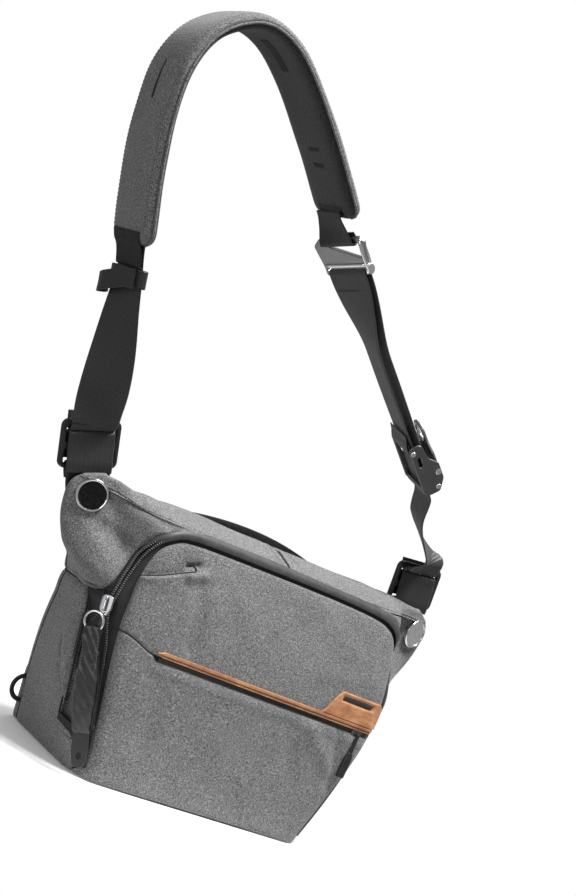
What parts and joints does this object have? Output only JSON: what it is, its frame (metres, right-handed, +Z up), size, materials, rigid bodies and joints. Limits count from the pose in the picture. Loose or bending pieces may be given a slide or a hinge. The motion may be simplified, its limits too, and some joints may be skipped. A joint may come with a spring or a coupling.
{
  "type": "sling camera bag",
  "caption": "Small padded sling bag for a camera, with a zipped front flap, front pocket, folding dividers and a swivelling padded shoulder strap with a quick-adjust buckle and metal hook",
  "frame": {"origin": "centre of the flat base, on the surface that the bag stands on", "axes": "+X to the right along the bag seen from the front, -Y to the front, +Z up"},
  "size_m": [0.4398, 0.1414, 0.5433],
  "materials": {
    "woven_fabric": "heathered mid-grey woven polyester, matt",
    "dark_fabric": "charcoal textured nylon, matt",
    "divider_fabric": "soft brushed divider felt over foam",
    "foam": "closed-cell foam",
    "stiffener": "black plastic sheet",
    "zip_tape": "smooth coated zip tape",
    "zip_teeth": "nylon coil teeth",
    "zip_metal": "dark nickel zip hardware",
    "pull_webbing": "glossy black coated pull strap",
    "leather": "tan leather, semi-matt",
    "webbing": "black seat-belt webbing",
    "swivel_tab": "smooth black coated webbing tab",
    "buckle": "black anodised, satin",
    "bright_metal": "machined and polished aluminium",
    "steel": "plain steel"
  },
  "bodies": {
    "bag": {"base_panel": "woven_fabric", "base_board": "stiffener", "back_panel": "dark_fabric", "left_gusset": "woven_fabric", "right_gusset": "woven_fabric", "left_wing": "woven_fabric", "right_wing": "woven_fabric", "top_yoke": "woven_fabric", "rear_pocket": "dark_fabric", "divider_left": "divider_fabric", "divider_right": "divider_fabric", "inner_slip_pocket": "dark_fabric", "main_zip_tape_body": "zip_tape", "main_zip_teeth_body": "zip_teeth", "left_disc_cap": "bright_metal", "left_disc_post": "steel", "left_washer": "steel", "right_disc_cap": "bright_metal", "right_disc_post": "steel", "right_washer": "steel", "accessory_loop_left": "webbing", "accessory_loop_right": "webbing"},
    "front_flap": {"flap_foam": "foam", "flap_lower_panel": "woven_fabric", "flap_upper_panel": "woven_fabric", "flap_lining": "dark_fabric", "pocket_zip_tape": "zip_tape", "pocket_zip_teeth": "zip_teeth", "leather_trim": "leather", "leather_label": "leather", "main_zip_tape_flap": "zip_tape", "main_zip_teeth_flap": "zip_teeth"},
    "pocket_slider": {"pocket_zip_slider": "zip_metal"},
    "pocket_pull": {"pocket_pull_cord": "pull_webbing", "pocket_pull_tab": "pull_webbing"},
    "main_slider": {"main_zip_slider": "zip_metal"},
    "main_pull": {"main_pull_ring": "zip_metal", "main_pull_strap": "pull_webbing", "main_pull_tail": "pull_webbing"},
    "divider_left_flap": {"divider_left_top": "divider_fabric"},
    "divider_right_flap": {"divider_right_top": "divider_fabric"},
    "left_tab": {"left_tab": "swivel_tab"},
    "left_strap": {"left_buckle": "buckle", "left_webbing": "webbing", "keeper_loop": "webbing", "pad_cover": "woven_fabric", "pad_foam": "foam", "pad_lining": "dark_fabric", "pad_end_webbing": "webbing"},
    "right_tab": {"right_tab": "swivel_tab"},
    "right_strap": {"right_buckle": "buckle", "right_webbing": "webbing", "doubled_webbing": "webbing"},
    "cam_buckle": {"cam_buckle": "buckle", "cam_pin": "steel"},
    "cam_lever": {"cam_lever": "bright_metal"},
    "metal_hook": {"metal_hook": "bright_metal"}
  },
  "joints": [
    {"name": "flap_hinge", "type": "hinge", "parent": "bag", "child": "front_flap", "pos_m": [0, -0.0656, 0.0068], "axis": [1, 0, 0], "range_deg": [0, 70]},
    {"name": "pocket_zip_travel", "type": "slide", "parent": "front_flap", "child": "pocket_slider", "axis": [-1, 0, 0], "range_m": [0, 0.185]},
    {"name": "pocket_pull_swing", "type": "hinge", "parent": "pocket_slider", "child": "pocket_pull", "pos_m": [0.109, -0.0695, 0.099], "axis": [-1, 0, 0], "range_deg": [0, 70]},
    {"name": "main_zip_travel", "type": "slide", "parent": "bag", "child": "main_slider", "axis": [-0.0301, 0.2613, 0.9648], "range_m": [0, 0.025]},
    {"name": "main_pull_swing", "type": "hinge", "parent": "main_slider", "child": "main_pull", "pos_m": [-0.1466, -0.05341, 0.11462], "axis": [-0.6383, 0.705, -0.3091], "range_deg": [0, 70]},
    {"name": "divider_left_fold", "type": "hinge", "parent": "bag", "child": "divider_left_flap", "pos_m": [-0.04, 0, 0.1], "axis": [0, -1, 0], "range_deg": [0, 90]},
    {"name": "divider_right_fold", "type": "hinge", "parent": "bag", "child": "divider_right_flap", "pos_m": [0.04, 0, 0.1], "axis": [0, 1, 0], "range_deg": [0, 90]},
    {"name": "left_swivel", "type": "hinge", "parent": "bag", "child": "left_tab", "pos_m": [-0.166, -0.01, 0.186], "axis": [-0.2588, -0.9659, 0], "range_deg": [0, 60]},
    {"name": "left_buckle_fold", "type": "hinge", "parent": "left_tab", "child": "left_strap", "pos_m": [-0.173, 0.003, 0.203], "axis": [0.9397, 0, 0.342], "range_deg": [-60, 60]},
    {"name": "right_swivel", "type": "hinge", "parent": "bag", "child": "right_tab", "pos_m": [0.166, -0.01, 0.186], "axis": [-0.2588, 0.9659, 0], "range_deg": [0, 90]},
    {"name": "right_buckle_fold", "type": "hinge", "parent": "right_tab", "child": "right_strap", "pos_m": [0.158, 0.003, 0.206], "axis": [0.9925, 0, 0.1219], "range_deg": [-60, 60]},
    {"name": "strap_adjust", "type": "slide", "parent": "right_strap", "child": "cam_buckle", "axis": [-0.7958, 0, 0.6055], "range_m": [0, 0.07]},
    {"name": "cam_lever_open", "type": "hinge", "parent": "cam_buckle", "child": "cam_lever", "pos_m": [0.10221, -0.01041, 0.31952], "axis": [0.1567, 0.9659, 0.206], "range_deg": [0, 75]},
    {"name": "hook_swing", "type": "hinge", "parent": "right_strap", "child": "metal_hook", "pos_m": [-0.046, -0.008, 0.421], "axis": [-0.2071, 0.9397, -0.2722], "range_deg": [0, 60]}
  ]
}
